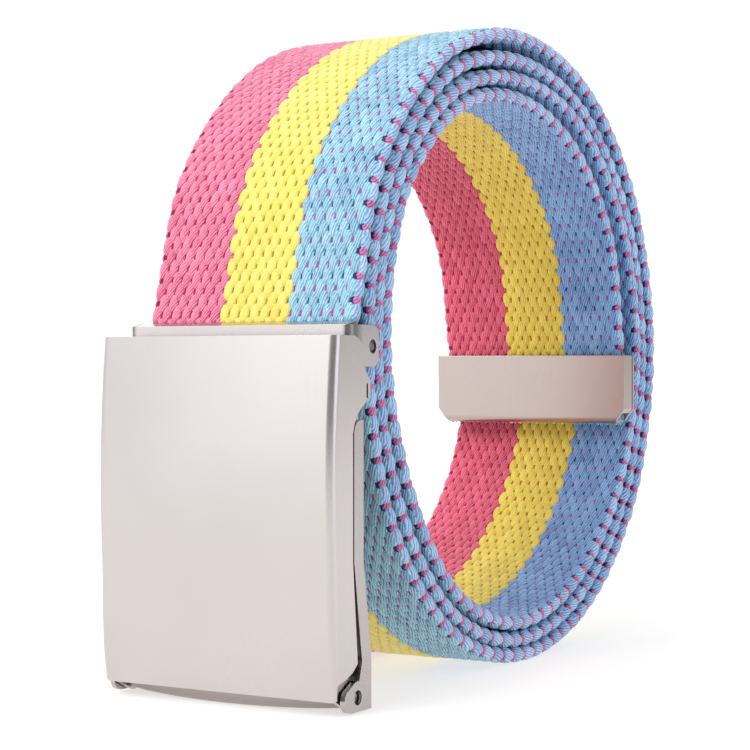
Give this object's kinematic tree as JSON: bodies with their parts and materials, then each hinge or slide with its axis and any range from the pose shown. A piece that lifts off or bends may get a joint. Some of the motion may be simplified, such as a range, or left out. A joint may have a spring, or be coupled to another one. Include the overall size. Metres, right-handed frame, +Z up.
{
  "type": "canvas web belt",
  "caption": "Three-stripe woven canvas belt, coiled on its edge, with a flip-top plate buckle clamped to one end and a folded metal tip on the other.",
  "frame": {"origin": "on the flat stretch of web that the coil rests on, under the middle of the coil", "axes": "+X across the web, from the pink edge to the blue edge; -Y is where the buckle faces; +Z up"},
  "size_m": [0.0426, 0.1233, 0.1077],
  "materials": {
    "web_blue": "matt sky-blue yarn",
    "web_yellow": "matt yellow yarn",
    "web_pink": "matt pink yarn",
    "satin_metal": "satin nickel plate",
    "pin_metal": "dull dark steel"
  },
  "bodies": {
    "frame": {"web": "web_blue", "belt_tip": "satin_metal", "buckle_frame": "satin_metal", "clamp_bar": "satin_metal", "clamp_pin": "pin_metal", "hinge_pin": "satin_metal"},
    "cover": {"buckle_cover": "satin_metal", "lock_bar": "satin_metal"}
  },
  "joints": [
    {"name": "cover_hinge", "type": "hinge", "parent": "frame", "child": "cover", "pos_m": [0, -0.05962, 0.00235], "axis": [1, 0, 0], "range_deg": [0, 90]}
  ]
}
